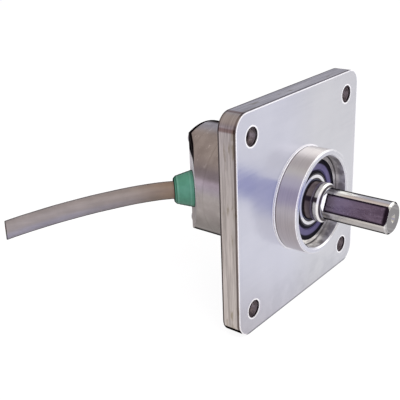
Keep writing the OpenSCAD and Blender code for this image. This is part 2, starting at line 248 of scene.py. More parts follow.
def turned_vector(radius, along, grain):
    """Vector whose noise changes along a lathe cut but not around it, with grain cuts a metre."""
    node = tree_of(radius).nodes.new("ShaderNodeCombineXYZ")
    feed(node.inputs["X"], times(radius, grain * MM))
    feed(node.inputs["Y"], times(along, grain * MM))
    return node.outputs["Vector"]


def lathe_rings(radius, along, grain):
    """Noise in fine rings round the shaft axis."""
    return noise(turned_vector(radius, along, grain), 1.0, 4.0, 0.7)


def from_bevel(tree):
    """Distance out from the cover's bevel plane, and negative inside the cover."""
    x, y, z = position(tree)
    return minus(times(minus(y, x), math.sqrt(0.5)), BEVEL_AT)


def toward(vector, direction, start, full):
    """1 where vector points along direction, easing to 0; start and full are cosines."""
    node = tree_of(vector).nodes.new("ShaderNodeVectorMath")
    node.operation = "DOT_PRODUCT"
    node.inputs[1].default_value = Vector(direction).normalized()
    feed(node.inputs[0], vector)
    return smooth(node.outputs["Value"], start, full)


def grazing(tree, start, full):
    """1 where the surface turns away from the eye, as on the outline of a round bar."""
    node = tree.nodes.new("ShaderNodeLayerWeight")
    node.inputs["Blend"].default_value = 0.5
    return smooth(node.outputs["Facing"], start, full)


def edge_mask(tree, radius):
    """1 near edges, 0 on flats, from the difference between bevelled and plain normals."""
    bevel = tree.nodes.new("ShaderNodeBevel")
    bevel.samples = 6
    bevel.inputs["Radius"].default_value = radius * MM
    geometry = tree.nodes.new("ShaderNodeNewGeometry")
    dot = tree.nodes.new("ShaderNodeVectorMath")
    dot.operation = "DOT_PRODUCT"
    feed(dot.inputs[0], bevel.outputs["Normal"])
    feed(dot.inputs[1], geometry.outputs["Normal"])
    return span(dot.outputs["Value"], 1.0, 0.90, 0.0, 1.0)


def crevice(tree, distance):
    """1 in concave corners, 0 where the surface is open."""
    node = tree.nodes.new("ShaderNodeAmbientOcclusion")
    node.samples = 8
    node.inputs["Distance"].default_value = distance * MM
    return below(node.outputs["AO"], 0.15, 0.75)


def mix_node(data_type, factor, first, second):
    """Mix node's first and second inputs are 2 and 3 for numbers, 6 and 7 for colours."""
    node = tree_of(factor, first, second).nodes.new("ShaderNodeMix")
    node.data_type = data_type
    start, output = (2, 0) if data_type == "FLOAT" else (6, 2)
    feed(node.inputs["Factor"], factor)
    feed(node.inputs[start], first)
    feed(node.inputs[start + 1], second)
    return node.outputs[output]


def mix(factor, first, second):
    return mix_node("RGBA", factor, first, second)


def mix_value(factor, first, second):
    return mix_node("FLOAT", factor, first, second)


def mottle(pattern, first, second, low=0.3, high=0.7):
    """Colour that goes from first to second with a noise pattern."""
    return mix(smooth(pattern, low, high), first, second)


def mix_multiply(first, second):
    """First colour times second."""
    result = mix(1.0, first, second)
    result.node.blend_type = "MULTIPLY"
    return result


def darken(tone, amount, floor_tone):
    """Tone pulled towards tone times floor_tone where amount is 1."""
    return mix_multiply(tone, mix(amount, WHITE, floor_tone))


def darken_all(tone, layers):
    """Darkens by every (mask, floor tone) pair in turn."""
    for mask, floor_tone in layers:
        tone = darken(tone, mask, floor_tone)
    return tone


def roughness(shader, pattern, low, high):
    """Roughness that goes from low to high with a noise pattern."""
    feed(shader.inputs["Roughness"], span(pattern, 0.3, 0.7, low, high))


def bump(shader, height, strength, distance):
    """Adds a bump to the shader, on top of any it already has."""
    node = tree_of(height).nodes.new("ShaderNodeBump")
    node.inputs["Strength"].default_value = strength
    node.inputs["Distance"].default_value = distance * MM
    feed(node.inputs["Height"], height)
    if shader.inputs["Normal"].is_linked:
        feed(node.inputs["Normal"], shader.inputs["Normal"].links[0].from_socket)
    feed(shader.inputs["Normal"], node.outputs["Normal"])


def outline(shader, mask):
    """Stops a metal from turning bright at grazing angles where mask is 1."""
    feed(shader.inputs["Specular Tint"], mix(mask, WHITE, (0.03, 0.03, 0.03)))


def camera_ray(tree):
    return tree.nodes.new("ShaderNodeLightPath").outputs["Is Camera Ray"]


def emission(tree, colour, strength):
    node = tree.nodes.new("ShaderNodeEmission")
    node.inputs["Strength"].default_value = strength
    feed(node.inputs["Color"], colour)
    return node.outputs["Emission"]


def mix_shaders(factor, first, second):
    """First shader where factor is 0, second where it is 1."""
    node = tree_of(first).nodes.new("ShaderNodeMixShader")
    for slot, value in zip(node.inputs, (factor, first, second)):
        feed(slot, value)
    return node.outputs["Shader"]


def in_mirrors(tree, shader, tone, amount):
    """Gives a part a soft glow that only reflections of it see."""
    plain = shader.outputs["BSDF"]
    glowing = mix_shaders(amount, plain, emission(tree, tone, 1.0))
    both = mix_shaders(camera_ray(tree), glowing, plain)
    feed(tree.nodes["Material Output"].inputs["Surface"], both)


def finish_metal(tree, shader, tone, edge_width, cavity, glint_and_burnish=1.0, edge_tone=(0.97, 0.97, 0.98), keep=1.0):
    """Painted shade in the corners, from ambient occlusion, and edges painted in edge_tone over a metal's
    tone: a painted highlight with some burnishing where edge_tone is light, a painted dark line where it is
    dark. Edges stay plain where keep is 0.
    """
    # Painted shade: ambient occlusion darkens the corners.
    corner_shade = darken(tone, crevice(tree, cavity), (0.22, 0.20, 0.22))
    # Painted highlight with some burnishing: edges take edge_tone; a dark edge_tone paints shade lines.
    edge_glint_and_burnish = times(span(edge_mask(tree, edge_width), 0, 1, 0, glint_and_burnish), keep)
    feed(shader.inputs["Base Color"], mix(edge_glint_and_burnish, corner_shade, edge_tone))
    feed(shader.inputs["Metallic"], span(edge_glint_and_burnish, 0, 1, 1.0, 0.45))


def less_metallic(shader, mask, least):
    """Lowers the shader's metallic value to least where mask is 1, so that it scatters light."""
    present = shader.inputs["Metallic"].links[0].from_socket
    limited = maths("MINIMUM", present, span(mask, 0, 1, 1.0, least))
    feed(shader.inputs["Metallic"], limited)


# The flange ---------------------------------------------------------------------------------------

def plate_regions(tree):
    """Masks for the parts of the flange, and the distances that place its lines."""
    x, y, z = position(tree)
    nx, ny, nz = split(normal_vector(tree))
    radius, along = around_axis(tree)
    part = SimpleNamespace(x=x, z=z, up=nz, radius=radius, along=along)
    part.side = below(absolute(ny), 0.4, 0.85)
    part.flat = invert(part.side)
    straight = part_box("flange")[1].x / MM - CORNER_R
    past_x = largest(minus(absolute(x), straight), 0.0)
    past_z = largest(minus(absolute(z), straight), 0.0)
    part.past_both = maths("MINIMUM", past_x, past_z)
    part.inside = minus(CORNER_R, length_of(past_x, past_z))
    across = minus(absolute(x), HOLE_AT)
    part.from_hole = length_of(across, minus(absolute(z), HOLE_AT))
    part.rim = times(part.side, below(part.inside, 0.3, 0.6))
    # Painted shade: the underside of the rim's rounding, painted near black further on.
    part.beneath = times(part.rim, band(nz, -0.96, -0.42, 0.05))
    part.low = below(z, -33.0, -32.8)
    part.hole = times(part.side, below(part.from_hole, 3.2, 3.6))
    part.pilot = times(part.side, below(radius, 16.8, 17.2))
    part.bore = times(part.pilot, below(radius, 14.3, 14.8))
    return part


def face_tone(tree, part, mill, blotch):
    """Milled face: faint clouds, a painted cool reflection tint on the cable side, scuffed below."""
    tone = mottle(noise(coords(tree), 45.0, 3.0), (0.68, 0.685, 0.71), (0.74, 0.745, 0.765))
    tone = mix(span(mill, 0.4, 0.7, 0.0, 0.35), tone, (0.80, 0.80, 0.81))
    scuffed = times(below(part.z, -30, -18), smooth(blotch, 0.42, 0.62))
    # Painted reflection: a cool tint on the cable side.
    return darken_all(tone, [
        (below(part.x, -12, 12), (0.975, 0.98, 1.05)),
        (scuffed, (0.92, 0.92, 0.93)),
    ])


def rim_tone(brushed, blotch):
    """Brushed rim with brown stains."""
    tone = mottle(brushed, (0.52, 0.485, 0.46), (0.86, 0.82, 0.78), 0.35, 0.65)
    return mix(smooth(blotch, 0.56, 0.70), tone, (0.46, 0.41, 0.32))


def pilot_tone(tree, part, rings):
    """Turned pilot: warm grey outside, a painted cream highlight near its top, patchy in the bore."""
    tone = mottle(rings, (0.62, 0.575, 0.565), (0.71, 0.66, 0.645), 0.35, 0.65)
    patch = noise(coords(tree), 230.0, 3.0)
    tone = mix(part.bore, tone, mottle(patch, (0.38, 0.35, 0.33), (0.80, 0.77, 0.72), 0.42, 0.62))
    # Painted highlight: cream near the top of the pilot.
    cream = times(band(part.z, 9.5, 11.5, 2.5), invert(part.bore), 0.8)
    return mix(cream, tone, (0.90, 0.87, 0.77))


def plate_lines(part, tone):
    """Painted shade: dark lines in the holes, along the rim and at its corners, and round the root of the
    pilot, with the holes darkest deep inside, the rim darker on top and higher up and near black beneath its
    rounding, a darker ring round the pilot's side and a dark strip along the bottom of the face. A painted
    warm highlight on the rim's corners.
    """
    rim, hole, along = part.rim, part.hole, part.along
    corner = times(rim, smooth(part.z, 0.0, 5.0), band(part.past_both, 0.6, 1.1, 0.6))
    # Painted shade: dark lines in the holes, on the rim and at its corners.
    tone = darken_all(tone, [
        (times(hole, smooth(along, 2.1, 3.2)), (0.06, 0.05, 0.05)),
        (times(hole, near(along, 0.38, 0.42)), (0.14, 0.13, 0.13)),
        (times(rim, near(along, 0.60, 0.45)), (0.30, 0.27, 0.27)),
        (times(rim, smooth(along, PLATE_BACK - 0.55, PLATE_BACK - 0.35)), (0.12, 0.10, 0.10)),
        (corner, (0.55, 0.45, 0.42)),
    ])
    # Painted highlight: warm on the rim's corners.
    tone = mix(times(rim, smooth(part.past_both, 1.8, 2.8), 0.3), tone, (0.80, 0.70, 0.60))
    top = smooth(part.up, 0.3, 0.9)
    root = times(part.pilot, near(along, -0.55, 0.35), smooth(part.radius, 15.0, 15.5))
    # Painted shade: rim darker on top and higher up, near black beneath its rounding, dark at the pilot's
    # root and round its side, and along the bottom.
    return darken_all(tone, [
        (times(rim, smooth(part.z, -15, 12), invert(top)), (0.86, 0.86, 0.84)),
        (times(rim, top), (0.78, 0.82, 0.86)),
        (root, (0.20, 0.18, 0.20)),
        (part.beneath, (0.06, 0.05, 0.05)),
        (times(part.side, band(part.radius, 16.15, 16.4, 0.05)), (0.72, 0.70, 0.74)),
        (times(part.low, part.flat), (0.45, 0.45, 0.48)),
    ])


def plate_shine(part):
    """Painted highlights: bright lines on the face along its edge, round the holes and round the pilot."""
    edge = times(below(part.inside, 0.20, 0.42), 0.8)
    round_hole = times(band(part.from_hole, 2.7, 3.1, 0.15), 0.8)
    round_pilot = band(part.radius, 15.8, 16.3, 0.1)
    return times(largest(edge, round_hole, round_pilot), part.flat, invert(part.low))


def machined_plate(name):
    """The flange: satin milled face, duller brushed rim, turned pilot and drilled holes painted dark with
    shade, with painted shade lines and painted highlights.
    """
    material, tree, shader = new_material(name)
    part = plate_regions(tree)
    mill = noise(coords(tree, (60, 60, 900)), 1.0, 4.0, 0.6)
    brushed = noise(coords(tree, (45, 1100, 45)), 1.0, 5.0, 0.7)
    blotch = noise(coords(tree, (110, 420, 110)), 1.0, 4.0, 0.6)
    rings = lathe_rings(part.radius, part.along, 2200.0)
    speck = noise(coords(tree), 2600.0, 2.0)

    tone = mix(part.rim, face_tone(tree, part, mill, blotch), rim_tone(brushed, blotch))
    tone = mix(part.pilot, tone, pilot_tone(tree, part, rings))
    tone = mix(part.hole, tone, mottle(speck, (0.86, 0.78, 0.80), (1.0, 0.94, 0.96)))
    tone = plate_lines(part, tone)
    shine = plate_shine(part)
    # Painted highlights: the bright lines are painted white.
    tone = mix(shine, tone, WHITE)
    outline(shader, part.beneath)
    # Painted shade: edges on the rear part of the rim and along the bottom take a dark edge tone.
    dark_edges = largest(smooth(part.along, 3.5, 4.5), part.low)
    edge_tone = mix(dark_edges, (0.98, 0.98, 0.99), (0.10, 0.09, 0.09))
    keep = invert(band(part.radius, 16.4, 17.6, 0.1))
    finish_metal(tree, shader, tone, 0.4, 1.2, edge_tone=edge_tone, keep=keep)
    less_metallic(shader, shine, 0.15)
    less_metallic(shader, part.bore, 0.7)

    rough = span(mill, 0.3, 0.7, 0.20, 0.27)
    rough = mix_value(part.rim, rough, span(brushed, 0.3, 0.7, 0.32, 0.46))
    rough = mix_value(part.pilot, rough, span(rings, 0.3, 0.7, 0.26, 0.36))
    rough = mix_value(largest(part.hole, part.bore), rough, 0.4)
    feed(shader.inputs["Roughness"], rough)
    bump(shader, times(mill, part.flat), 0.10, 0.1)
    bump(shader, times(brushed, part.rim), 0.25, 0.08)
    bump(shader, times(rings, part.pilot), 0.15, 0.06)
    bump(shader, speck, 0.06, 0.05)
    lavender = times(smooth(part.z, -4, 3), below(part.z, 8.9, 9.9))
    glow = mix(lavender, (0.80, 0.80, 0.87), (0.47, 0.49, 0.71))
    in_mirrors(tree, shader, glow, times(part.pilot, invert(part.bore), 0.7))
    return material


# The shaft ----------------------------------------------------------------------------------------

def shaft_regions(tree):
    """Masks for the flat, its run-out, the journal, the collar and the centre drilling of the shaft."""
    turn = math.radians(FLAT_ANGLE)
    out = Vector((math.cos(turn), 0.0, math.sin(turn)))
    x, y, z = position(tree)
    radius, along = around_axis(tree)
    ahead = times(along, -1.0)
    part = SimpleNamespace(radius=radius, along=along, ahead=ahead)
    part.flat = toward(normal_vector(tree), out, 0.985, 0.998)
    ramp = toward(normal_vector(tree), 0.68 * out + Vector((0.0, -0.735, 0.0)), 0.97, 0.995)
    part.runout = times(ramp, smooth(ahead, 9.05, 9.2))
    part.across = absolute(minus(times(z, math.cos(turn)), times(x, math.sin(turn))))
    journal_end = COLLAR_FROM - 0.2
    part.journal = times(smooth(ahead, JOURNAL_FROM - 0.22, JOURNAL_FROM + 0.08),
                         below(ahead, journal_end, journal_end + 0.3))
    part.journal_ends = largest(near(ahead, 4.0, 0.5), near(ahead, journal_end, 0.5))
    part.collar = band(ahead, COLLAR_FROM - 0.1, COLLAR_TO, 0.1)
    part.drilling = times(below(radius, 1.2, 1.4), smooth(ahead, 26, 27))
    return part


def ground_tone(tree, part, rings, cloud):
    """Ground steel: fine rings, a glint beside the flat, a collar painted pale as a highlight and the side
    facing down painted darker as shade.
    """
    tone = mottle(cloud, (0.69, 0.675, 0.64), (0.79, 0.775, 0.74))
    tone = mix(span(rings, 0.35, 0.7, 0.0, 0.3), tone, (0.84, 0.83, 0.80))
    beside = band(part.across, FLAT_HALF_WIDTH + 0.05, FLAT_HALF_WIDTH + 0.45, 0.1)
    glint = times(beside, smooth(part.ahead, FLAT_FROM - 0.6, FLAT_FROM))
    tone = mix(glint, tone, (0.96, 0.95, 0.90))
    # Painted highlight: the collar is painted pale.
    tone = mix(part.collar, tone, (0.93, 0.915, 0.88))
    geometry = tree.nodes.new("ShaderNodeNewGeometry")
    # Painted shade: darker where the bar faces down, except on the collar.
    underside = toward(geometry.outputs["Normal"], (-0.35, 0.0, -0.94), 0.1, 0.8)
    return darken(tone, times(underside, invert(part.collar)), (0.72, 0.70, 0.70))


def milled_tone(tree, part, cutter):
    """Cross-milled flat: darker steel tinted purple as a painted reflection, with bright specks and a border
    painted dark as shade.
    """
    # Painted reflection: the flat's dark purple tint.
    tone = mottle(cutter, (0.33, 0.27, 0.32), (0.46, 0.385, 0.44), 0.35, 0.65)
    speck = noise(coords(tree), 1500.0, 3.0)
    tone = mix(smooth(speck, 0.55, 0.75), tone, (0.56, 0.50, 0.56))
    sides = smooth(part.across, FLAT_HALF_WIDTH - 0.75, FLAT_HALF_WIDTH - 0.35)
    starts = below(part.ahead, FLAT_FROM + 0.3, FLAT_FROM + 0.8)
    ends = smooth(part.ahead, SHAFT_TIP - 1.8, SHAFT_TIP - 1.0)
    # Painted shade: a dark border along the sides and ends of the flat.
    return darken(tone, largest(sides, starts, ends), (0.12, 0.10, 0.12))


def ground_shaft(name):
    """Ground steel bar: fine rings, a journal painted dark as shade and a darker cross-milled flat with its
    run-out painted white as a highlight; painted shade also darkens a line past the collar, the outline where
    the bar turns away, its edges on the flat and journal, and the end of its tip.
    """
    material, tree, shader = new_material(name)
    part = shaft_regions(tree)
    ahead = part.ahead
    rings = lathe_rings(part.radius, part.along, 3000.0)
    cloud = noise(coords(tree), 190.0, 3.0)
    cutter = noise(coords(tree, (500, 120, 500)), 1.0, 5.0, 0.7)
    # Painted shade: the journal sits in the shadow of the bore and is painted dark brown, darker still at its
    # ends.
    journal_shade = mottle(cloud, (0.20, 0.155, 0.165), (0.34, 0.28, 0.27), 0.35, 0.65)
    journal_shade = darken(journal_shade, part.journal_ends, (0.15, 0.12, 0.14))
    tone = mix(part.journal, ground_tone(tree, part, rings, cloud), journal_shade)
    tone = mix(part.flat, tone, milled_tone(tree, part, cutter))
    # Painted shade: a dark line past the collar and a dark outline where the bar turns away from the eye.
    turning = times(grazing(tree, 0.54, 0.78), invert(part.flat), invert(part.collar))
    tone = darken_all(tone, [
        (near(ahead, COLLAR_TO + 0.15, 0.22), (0.14, 0.12, 0.13)),
        (turning, (0.18, 0.17, 0.17)),
    ])
    outline(shader, turning)
    # Painted shade: the end of the tip is painted darker.
    tip = times(smooth(ahead, SHAFT_TIP - 0.3, SHAFT_TIP - 0.1), 0.55)
    tone = mix(tip, tone, (0.19, 0.18, 0.19))
    tone = mix(part.drilling, tone, (0.55, 0.53, 0.47))
    # Painted highlight: the flat's run-out is painted white.
    tone = mix(part.runout, tone, (0.98, 0.98, 0.98))
    # Painted shade: dark edge lines round the flat and the journal.
    edge_tone = mix(largest(part.flat, part.journal), (0.97, 0.97, 0.96), (0.03, 0.02, 0.03))
    groove = band(ahead, COLLAR_FROM - 0.1, COLLAR_TO + 0.7, 0.1)
    keep = times(invert(groove), invert(part.drilling))
    finish_metal(tree, shader, tone, 0.22, 0.8, edge_tone=edge_tone, keep=keep)
    less_metallic(shader, part.runout, 0.2)
    less_metallic(shader, part.journal, 0.75)
    less_metallic(shader, part.collar, 0.6)
    rough = span(rings, 0.3, 0.7, 0.12, 0.20)
    rough = mix_value(part.flat, rough, span(cutter, 0.3, 0.7, 0.22, 0.34))
    rough = mix_value(largest(part.journal, part.runout), rough, 0.42)
    feed(shader.inputs["Roughness"], rough)
    bump(shader, rings, 0.10, 0.05)
    bump(shader, times(cutter, part.flat), 0.15, 0.05)
    in_mirrors(tree, shader, (0.42, 0.45, 0.74), 0.7)
    return material


# The cover ----------------------------------------------------------------------------------------

def cover_streaks(tree, along):
    """Noise drawn out along the shaft axis."""
    x, y, z = position(tree)
    line = tree.nodes.new("ShaderNodeCombineXYZ")
    feed(line.inputs["X"], times(maths("ARCTAN2", z, x), 14.0))
    feed(line.inputs["Y"], times(along, 0.06))
    return noise(line.outputs["Vector"], 1.0, 5.0, 0.65)


def cover_outline(tree, z, radius, along, bevel):
    """Painted shade and a painted dark reflection: dark lines by the upper bevel, on the rear edge, by the
    plate and where the side turns away.
    """
    inward = times(from_bevel(tree), -1.0)
    width = span(z, 8.5, 14.5, 0.10, 0.90)
    by_bevel = smooth(minus(width, inward), 0.0, 0.2)
    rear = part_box("cover")[1].y / MM
    rear_edge = times(smooth(along, rear - 1.9, rear - 1.6), smooth(z, 9, 11))
    rear_edge = times(rear_edge, smooth(radius, 16.5, 17.0), grazing(tree, 0.2, 0.4))
    turning = mix_value(smooth(z, -2, 2), grazing(tree, 0.76, 0.90), grazing(tree, 0.68, 0.86))
    turning = times(turning, invert(bevel))
    by_plate = below(along, PLATE_BACK + 0.25, PLATE_BACK + 0.6)
    return largest(by_bevel, turning, by_plate, rear_edge)


def drawn_cover(name):
    """Polished cover: faint streaks along the axis, soft brown stains, painted shade that darkens its top and
    bottom and draws dark lines, and a lower bevel painted pale as a highlight.
    """
    material, tree, shader = new_material(name)
    x, y, z = position(tree)
    radius, along = around_axis(tree)
    turned = noise(turned_vector(radius, along, 900.0), 1.0, 5.0, 0.65)
    streak = cover_streaks(tree, along)
    scuff = noise(coords(tree, (500, 900, 500)), 1.0, 3.0, 0.7)
    tone = mottle(noise(coords(tree), 170.0, 4.0), (0.47, 0.44, 0.43), (0.60, 0.575, 0.56))
    tone = mix(smooth(turned, 0.50, 0.80), tone, (0.44, 0.41, 0.395))
    high = smooth(z, 6, 14)
    # Painted shade: darker towards the top and much darker towards the bottom.
    tone = darken_all(tone, [
        (high, (0.86, 0.84, 0.80)),
        (below(z, -12, -2), (0.50, 0.49, 0.48)),
    ])
    tone = mix(times(high, smooth(scuff, 0.58, 0.72)), tone, (0.80, 0.78, 0.75))
    bevel = toward(normal_vector(tree), (-0.707, 0.707, 0.0), 0.985, 0.997)
    away = grazing(tree, 0.75, 0.86)
    low_bevel = times(bevel, away, below(z, 10.2, 11.4))
    dark = cover_outline(tree, z, radius, along, bevel)
    dark = times(dark, invert(low_bevel), mix_value(bevel, 1.0, away))
    # Painted shade: the dark lines, kept off the pale lower bevel.
    tone = darken(tone, dark, (0.03, 0.025, 0.03))
    # Painted highlight: the lower bevel, where it turns from the eye, painted pale, brownish low down.
    pale = mix(smooth(z, -5, 3), (0.40, 0.37, 0.35), (0.95, 0.95, 0.95))
    tone = mix(low_bevel, tone, pale)
    outline(shader, dark)
    finish_metal(tree, shader, tone, 0.4, 1.5, 0.1)
    less_metallic(shader, low_bevel, 0.1)
    rough = mix_value(largest(low_bevel, dark), span(streak, 0.3, 0.7, 0.17, 0.27), 0.5)
    feed(shader.inputs["Roughness"], rough)
    bump(shader, streak, 0.05, 0.08)
    bump(shader, turned, 0.03, 0.05)
    return material


# Other metals -------------------------------------------------------------------------------------

def inner_ring_steel(name):
    """Ground ring face, bright between painted shade at its bore edge and a painted shadow on its outer
    chamfer.
    """
    material, tree, shader = new_material(name)
    radius, along = around_axis(tree)
    rings = lathe_rings(radius, along, 4000.0)
    tone = mottle(rings, (0.84, 0.84, 0.83), (0.95, 0.95, 0.94), 0.35, 0.65)
    # Painted shade at the bore edge, painted shadow on the outer chamfer.
    tone = darken_all(tone, [
        (below(radius, 6.65, 6.85), (0.05, 0.045, 0.05)),
        (smooth(radius, 7.60, 7.75), (0.05, 0.045, 0.06)),
    ])
    feed(shader.inputs["Base Color"], tone)
    shader.inputs["Metallic"].default_value = 0.7
    roughness(shader, rings, 0.18, 0.30)
    bump(shader, rings, 0.12, 0.05)
    return material


def turned_metal(name, colour, rough=0.25, grain=2500.0, spread=0.12):
    """Lathe turned metal: rings across the axis, faint stains, edges painted bright as a highlight with some
    burnishing, and painted shade in its corners.
    """
    material, tree, shader = new_material(name)
    radius, along = around_axis(tree)
    rings = lathe_rings(radius, along, grain)
    cloud = noise(coords(tree), 160.0, 3.0)
    dull = tuple(c * 0.82 for c in colour)
    bright = tuple(min(1.0, c * 1.15) for c in colour)
    tone = mix(span(cloud, 0.3, 0.7, 0.0, 1.0), dull, colour)
    tone = mix(span(rings, 0.35, 0.7, 0.0, 0.3), tone, bright)
    finish_metal(tree, shader, tone, 0.25, 0.8, 0.6)
    roughness(shader, rings, rough, rough + spread)
    bump(shader, rings, 0.15, 0.06)
    return material


def steel_screw(name, colour):
    """Plated screw: grainy plating, edges painted bright as a highlight with some burnishing."""
    material, tree, shader = new_material(name)
    shader.inputs["Metallic"].default_value = 1.0
    grain = noise(coords(tree), 1800.0, 3.0)
    tone = mix(span(grain, 0.35, 0.65, 0, 1), tuple(c * 0.75 for c in colour), colour)
    # Painted highlight with some burnishing: edges lightened.
    tone = mix(edge_mask(tree, 0.2), tone, (0.85, 0.85, 0.86))
    feed(shader.inputs["Base Color"], tone)
    roughness(shader, grain, 0.28, 0.5)
    bump(shader, grain, 0.2, 0.04)
    return material


# Plastics, rubber and glass -----------------------------------------------------------------------

def lip_seal(name):
    """Indigo rubber seal: moulded rings, and painted shade in near-black rings without shine where it meets
    both bearing rings.
    """
    material, tree, shader = new_material(name)
    radius, along = around_axis(tree)
    fine = noise(coords(tree), 1500.0, 4.0)
    cloud = noise(coords(tree), 220.0, 3.0)
    tone = mottle(cloud, (0.095, 0.080, 0.185), (0.130, 0.110, 0.240))
    # Painted shade: near-black rings without shine where the seal meets both bearing rings.
    seal_edge_shade = largest(near(radius, SEAL_OUTER, 1.2), near(radius, SEAL_INNER, 1.3))
    tone = darken(tone, seal_edge_shade, (0.03, 0.03, 0.04))
    feed(shader.inputs["Specular IOR Level"], span(seal_edge_shade, 0, 1, 0.45, 0.05))
    feed(shader.inputs["Base Color"], tone)
    roughness(shader, fine, 0.36, 0.5)
    bump(shader, fine, 0.15, 0.05)
    return material


def moulded(name, colour, rough=0.45, grain=1400.0, depth=0.2, variation=0.15):
    """Moulded plastic or rubber: fine texture, slight colour variation, dull patches."""
    material, tree, shader = new_material(name)
    fine = noise(coords(tree), grain, 4.0)
    cloud = noise(coords(tree), 180.0, 3.0)
    low = tuple(c * (1.0 - variation) for c in colour)
    high = tuple(min(1.0, c * (1.0 + variation)) for c in colour)
    tone = mix(span(cloud, 0.3, 0.7, 0, 1), low, high)
    feed(shader.inputs["Base Color"], tone)
    roughness(shader, fine, rough - 0.06, rough + 0.1)
    bump(shader, fine, depth, 0.05)
    return material


def glass_plate(name):
    """Clear glass with faint smudges."""
    material, tree, shader = new_material(name)
    smudge = noise(coords(tree), 700.0, 3.0)
    shader.inputs["Transmission Weight"].default_value = 0.85
    shader.inputs["IOR"].default_value = 1.5
    tone = mix(span(smudge, 0.3, 0.7, 0, 1), (0.75, 0.84, 0.88), (0.86, 0.92, 0.95))
    feed(shader.inputs["Base Color"], tone)
    roughness(shader, smudge, 0.03, 0.15)
    return material


def jacket_pvc(name):
    """PVC jacket: warm near the boot, cooler towards the cut end with a painted lilac reflection on its lower
    side there, faint lines along it, a painted dark outline where it turns away, darker near the cut end, and
    a dull gloss.
    """
    material, tree, shader = new_material(name)
    x, y, z = position(tree)
    nx, ny, nz = split(normal_vector(tree))
    fine = noise(coords(tree), 1500.0, 4.0)
    cloud = noise(coords(tree), 150.0, 3.0)
    streak = noise(coords(tree, (60, 60, 900)), 1.0, 4.0, 0.6)
    outward = times(x, -1.0)
    far = smooth(outward, 16, 56)
    tone = mix(far, (0.215, 0.18, 0.155), (0.25, 0.225, 0.215))
    # Painted reflection: the lower side towards the cut end is painted lilac.
    tone = mix(times(far, below(nz, -0.35, 0.35)), tone, (0.275, 0.265, 0.315))
    tone = mix(below(outward, 17, 30), tone, (0.22, 0.155, 0.105))
    cut = tree.nodes.new("ShaderNodeAttribute")
    cut.attribute_name = "cut"
    # Painted shade: a dark outline without shine where the jacket turns away from the eye; the last rings
    # before the cut end are also darkened.
    border = largest(grazing(tree, 0.54, 0.76), smooth(cut.outputs["Fac"], 0.62, 0.9))
    tone = darken(tone, border, (0.17, 0.16, 0.16))
    feed(shader.inputs["Specular IOR Level"], span(border, 0, 1, 0.5, 0.0))
    tone = mix_multiply(tone, mottle(cloud, (0.90, 0.90, 0.90), (1.06, 1.06, 1.06)))
    tone = mix_multiply(tone, mottle(streak, (0.93, 0.93, 0.93), (1.05, 1.05, 1.05)))
    feed(shader.inputs["Base Color"], tone)
    roughness(shader, fine, 0.33, 0.48)
    bump(shader, fine, 0.15, 0.04)
    bump(shader, streak, 0.10, 0.06)
    return material


def boot_plastic(name):
    """Green moulded plastic: soft gloss, pale mould lines, painted shade at its root, and painted dark
    outlines round its tip, along its chamfer and where it turns away.
    """
    material, tree, shader = new_material(name)
    fine = noise(coords(tree), 1800.0, 4.0)
    cloud = noise(coords(tree), 260.0, 3.0)
    tone = mottle(cloud, (0.062, 0.225, 0.145), (0.085, 0.285, 0.19))
    # Painted shade: ambient occlusion darkens the root.
    tone = darken(tone, crevice(tree, 1.2), (0.30, 0.30, 0.30))
    out = from_bevel(tree)
    light = largest(near(out, 1.2, 0.35), near(out, BOOT_LENGTH - 1.1, 0.35))
    tone = mix(times(light, 0.4), tone, (0.16, 0.38, 0.28))
    tip = smooth(out, BOOT_LENGTH - 0.35, BOOT_LENGTH - 0.1)
    chamfer = times(near(out, BOOT_LENGTH - 0.65, 0.2), 0.6)
    # Painted shade: dark outlines without shine where the boot turns away, on its tip and along its chamfer.
    border = largest(grazing(tree, 0.58, 0.80), tip, chamfer)
    tone = darken(tone, border, (0.12, 0.14, 0.13))
    feed(shader.inputs["Specular IOR Level"], span(border, 0, 1, 0.5, 0.0))
    feed(shader.inputs["Base Color"], tone)
    roughness(shader, fine, 0.40, 0.55)
    shader.inputs["Subsurface Weight"].default_value = 0.08
    shader.inputs["Subsurface Radius"].default_value = (0.001, 0.002, 0.0015)
    bump(shader, fine, 0.18, 0.04)
    return material


# Assigning to the CAD nodes -----------------------------------------------------------------------

def paint(material, *names):
    """Gives CAD nodes their material."""
    for name in names:
        mesh = NODES[name].data
        mesh.materials.clear()
        mesh.materials.append(material)


def paint_metals():
    """Metals of the CAD nodes."""
    paint(machined_plate("flange_metal"), "flange")
    paint(drawn_cover("cover_metal"), "cover")
    paint(ground_shaft("shaft_steel"), "shaft")
    paint(inner_ring_steel("inner_ring_steel"), "front_bearing_inner_ring")
    paint(turned_metal("bearing_steel", (0.86, 0.86, 0.87), 0.10, 4000.0, 0.08),
          "front_bearing_outer_ring", "front_bearing_balls", "rear_bearing_outer_ring",
          "rear_bearing_inner_ring", "rear_bearing_balls", "rear_bearing_shields")
    paint(turned_metal("turned_brass", (0.78, 0.60, 0.30)),
          "front_bearing_cage", "rear_bearing_cage", "board_spacers")
    paint(turned_metal("spring_steel", (0.35, 0.35, 0.38), 0.35), "preload_spring", "bearing_retaining_ring")
    paint(turned_metal("hub_aluminium", (0.70, 0.70, 0.72), 0.3), "disc_hub", "disc_clamp_ring")
    paint(turned_metal("disc_nickel", (0.72, 0.74, 0.78), 0.12, 5000.0, 0.06), "code_disc")
    paint(steel_screw("screw_steel", (0.62, 0.62, 0.63)),
          "cover_screws", "hub_set_screws", "bracket_screws", "cable_clamp")


